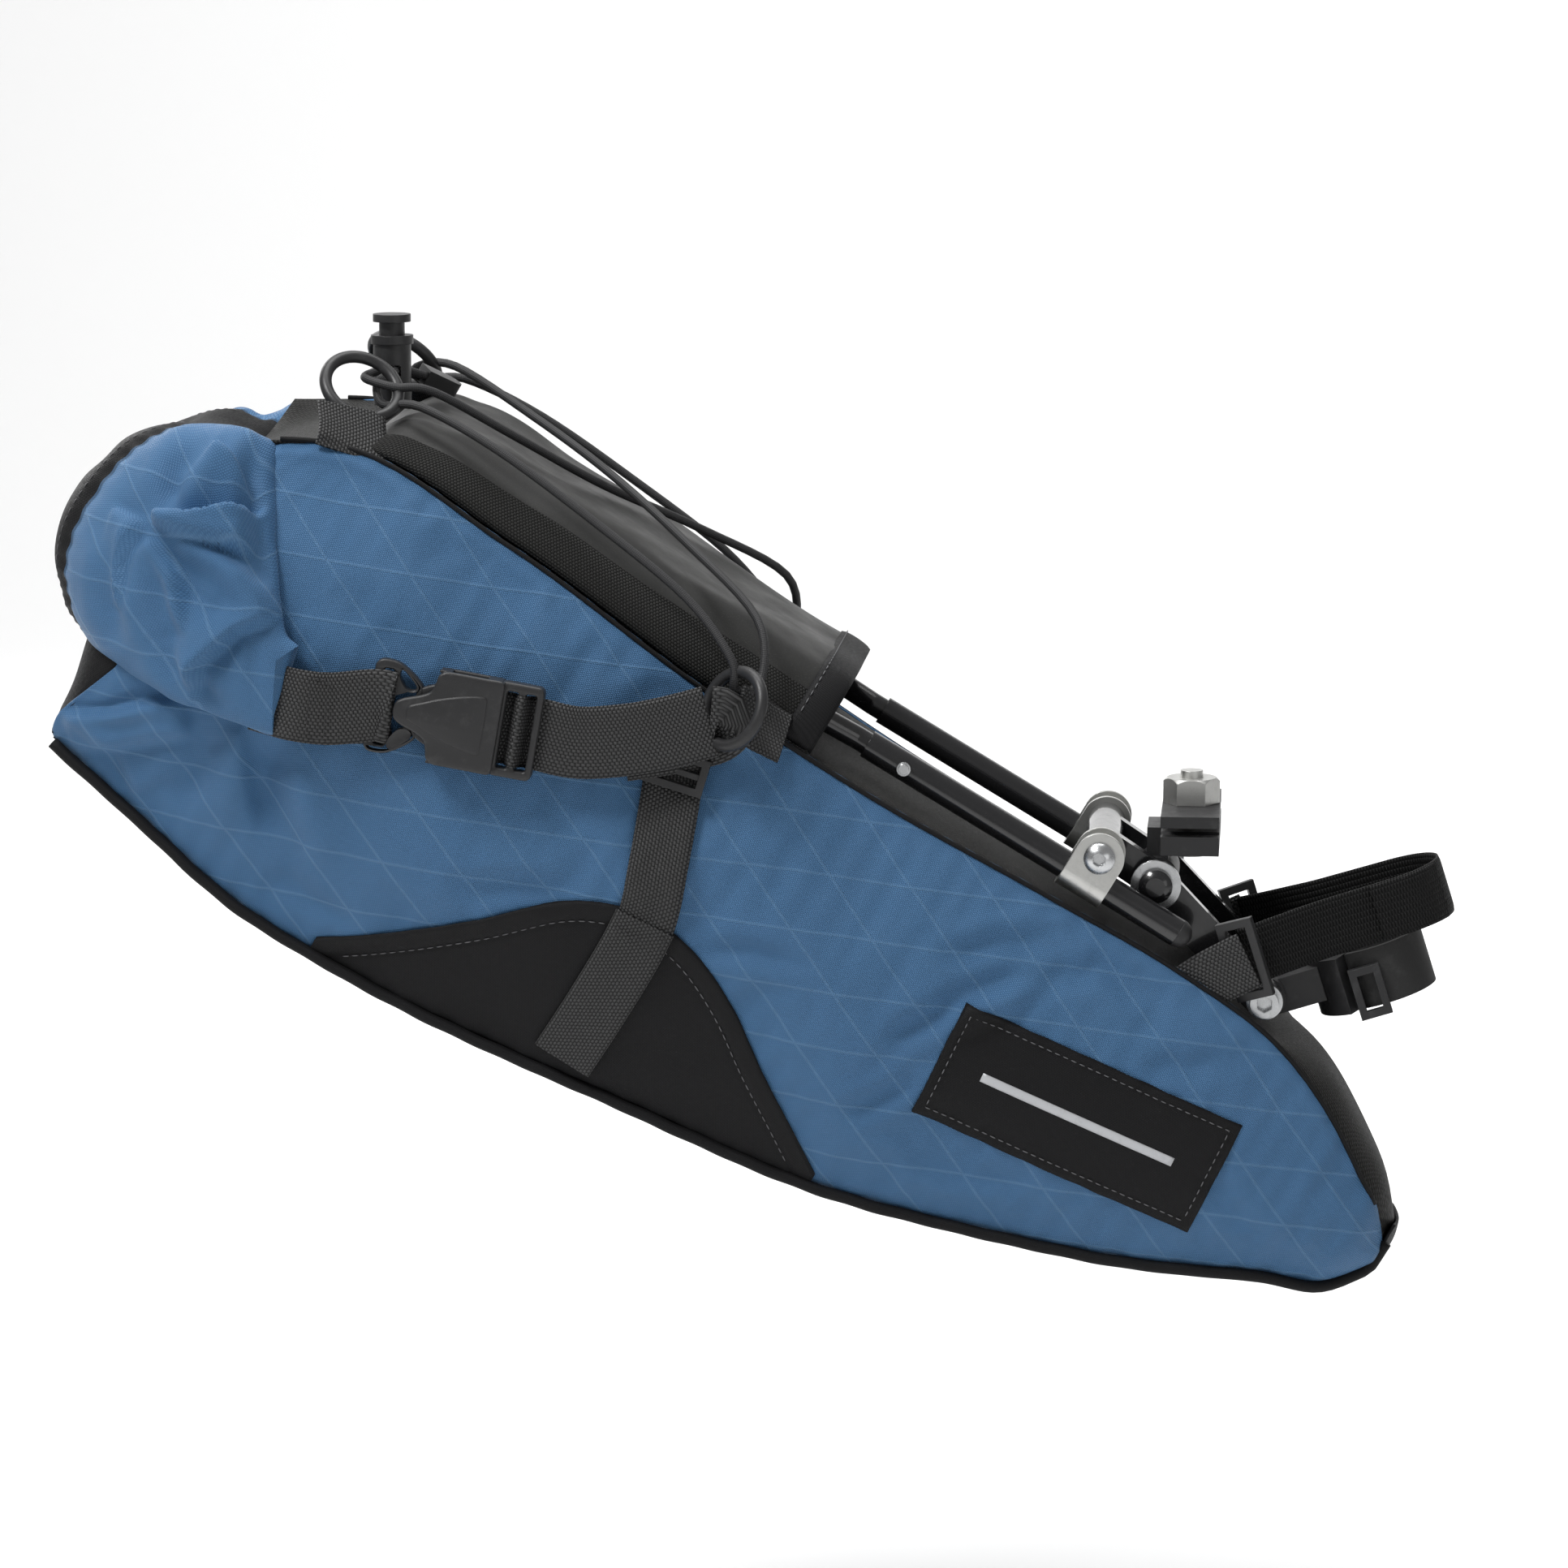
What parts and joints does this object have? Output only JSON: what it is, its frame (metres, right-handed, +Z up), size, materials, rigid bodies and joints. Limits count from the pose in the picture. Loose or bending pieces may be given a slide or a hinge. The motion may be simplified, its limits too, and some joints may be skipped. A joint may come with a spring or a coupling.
{
  "type": "saddle bag",
  "caption": "Roll-top saddle bag that slides on a tubular hanger rack, which clamps to the saddle rails and braces on the seatpost.",
  "frame": {"origin": "on the seatpost's axis at the middle of the collar and cradle that hold the rack to it", "axes": "+X to the bicycle's front, +Y to its left, +Z up"},
  "size_m": [0.4816, 0.1916, 0.3359],
  "materials": {
    "blue_fabric": "woven ripstop with a soft sheen",
    "black_fabric": "coarse woven black",
    "coated_fabric": "smooth coated black",
    "webbing": "woven nylon webbing",
    "buckle_plastic": "fine-grained acetal",
    "black_paint": "gloss black powder coat",
    "clamp_plastic": "glass-filled nylon",
    "rubber": "soft matt rubber",
    "chrome": "polished zinc plate",
    "alloy": "satin rolled alloy",
    "board": "stiff plastic sheet",
    "cord": "braided cover over elastic"
  },
  "bodies": {
    "rack": {"rack_loop": "black_paint", "rack_leg_right": "black_paint", "rack_leg_left": "black_paint", "leg_end_caps": "clamp_plastic", "tube_clips": "alloy", "clip_spacers": "alloy", "clip_bolts": "chrome", "cross_bar": "black_paint", "pivot_bolt": "black_paint", "pivot_washers": "chrome", "lock_nuts": "alloy", "brace_arms": "black_paint", "front_bolt": "chrome", "post_strap_rings": "buckle_plastic"},
    "cradle": {"seatpost_cradle": "clamp_plastic", "cradle_pad": "rubber", "post_collar": "rubber", "collar_ring": "buckle_plastic"},
    "rail_clamp": {"rail_clamp_base": "clamp_plastic", "clamp_stud": "alloy"},
    "clamp_jaw": {"rail_clamp_jaw": "clamp_plastic"},
    "nut": {"clamp_nut": "alloy"},
    "button_right": {"snap_button_right": "chrome"},
    "button_left": {"snap_button_left": "chrome"},
    "bag": {"side_panel_right": "blue_fabric", "side_panel_left": "blue_fabric", "top_panel": "black_fabric", "bottom_panel": "black_fabric", "front_panel": "black_fabric", "rear_panel": "blue_fabric", "roll_top": "blue_fabric", "closure_stiffener": "board", "base_stiffener": "board", "lower_panel_right": "black_fabric", "lower_panel_left": "black_fabric", "edge_binding": "black_fabric", "rack_sleeve": "coated_fabric", "sleeve_binding": "black_fabric", "label_patch": "black_fabric", "closure_tabs": "webbing", "buckle_male_right": "buckle_plastic", "buckle_male_left": "buckle_plastic", "closure_strap_right": "webbing", "closure_strap_left": "webbing", "front_rings": "buckle_plastic", "rear_rings": "buckle_plastic", "ring_tabs": "webbing", "compression_straps": "webbing", "ladder_locks": "buckle_plastic", "bungee_cord": "cord", "cord_lock": "buckle_plastic", "cord_end_clip": "buckle_plastic", "post_strap": "webbing"},
    "upper_prong_right": {"prong_upper_right": "buckle_plastic"},
    "lower_prong_right": {"prong_lower_right": "buckle_plastic"},
    "upper_prong_left": {"prong_upper_left": "buckle_plastic"},
    "lower_prong_left": {"prong_lower_left": "buckle_plastic"},
    "female_right": {"buckle_female_right": "buckle_plastic"},
    "female_left": {"buckle_female_left": "buckle_plastic"},
    "plunger": {"cord_lock_plunger": "buckle_plastic"}
  },
  "joints": [
    {"name": "bag_slide", "type": "slide", "parent": "rack", "child": "bag", "axis": [-0.8572, 0, 0.515], "range_m": [0, 0.2], "deforming": ["post_strap"]},
    {"name": "cradle_tilt", "type": "hinge", "parent": "rack", "child": "cradle", "pos_m": [-0.03876, 0, -0.00821], "axis": [0, 1, 0], "range_deg": [-8, 8]},
    {"name": "clamp_tilt", "type": "hinge", "parent": "rack", "child": "rail_clamp", "pos_m": [-0.07647, 0, 0.03195], "axis": [0, 1, 0], "range_deg": [-12, 12]},
    {"name": "jaw_lift", "type": "slide", "parent": "rail_clamp", "child": "clamp_jaw", "axis": [0, 0, 1], "range_m": [0, 0.0026]},
    {"name": "nut_turn", "type": "hinge", "parent": "clamp_jaw", "child": "nut", "pos_m": [-0.065, 0, 0.06], "axis": [0, 0, 1], "range_deg": [0, 720]},
    {"name": "button_press_right", "type": "slide", "parent": "rack", "child": "button_right", "axis": [0, 1, 0], "range_m": [0, 0.003], "stiffness_N_per_m": 600, "springref_m": -0.001},
    {"name": "button_press_left", "type": "slide", "parent": "rack", "child": "button_left", "axis": [0, -1, 0], "range_m": [0, 0.003], "stiffness_N_per_m": 600, "springref_m": -0.001},
    {"name": "buckle_squeeze_right", "type": "hinge", "parent": "bag", "child": "upper_prong_right", "pos_m": [-0.31986, -0.088, 0.10463], "axis": [0, 1, 0], "range_deg": [0, 8], "stiffness_Nm_per_rad": 0.6, "springref_deg": -2.86},
    {"name": "buckle_squeeze_lower_right", "type": "hinge", "parent": "bag", "child": "lower_prong_right", "pos_m": [-0.32212, -0.088, 0.09183], "axis": [0, -1, 0], "range_deg": [0, 8], "stiffness_Nm_per_rad": 0.6, "springref_deg": -2.86},
    {"name": "buckle_squeeze_left", "type": "hinge", "parent": "bag", "child": "upper_prong_left", "pos_m": [-0.31986, 0.088, 0.10463], "axis": [0, 1, 0], "range_deg": [0, 8], "stiffness_Nm_per_rad": 0.6, "springref_deg": -2.86},
    {"name": "buckle_squeeze_lower_left", "type": "hinge", "parent": "bag", "child": "lower_prong_left", "pos_m": [-0.32212, 0.088, 0.09183], "axis": [0, -1, 0], "range_deg": [0, 8], "stiffness_Nm_per_rad": 0.6, "springref_deg": -2.86},
    {"name": "buckle_release_right", "type": "slide", "parent": "bag", "child": "female_right", "axis": [0.9848, 0, -0.1736], "range_m": [0, 0.024], "deforming": ["closure_strap_right"]},
    {"name": "buckle_release_left", "type": "slide", "parent": "bag", "child": "female_left", "axis": [0.9848, 0, -0.1736], "range_m": [0, 0.024], "deforming": ["closure_strap_left"]},
    {"name": "lock_press", "type": "slide", "parent": "bag", "child": "plunger", "axis": [0, 0, -1], "range_m": [0, 0.004], "stiffness_N_per_m": 400, "springref_m": -0.002}
  ],
  "couplings": [
    {"joint": "jaw_lift", "follows": "nut_turn", "m_per_rad": 0.00019894},
    {"joint": "buckle_squeeze_lower_right", "follows": "buckle_squeeze_right", "ratio": 1},
    {"joint": "buckle_squeeze_lower_left", "follows": "buckle_squeeze_left", "ratio": 1}
  ]
}
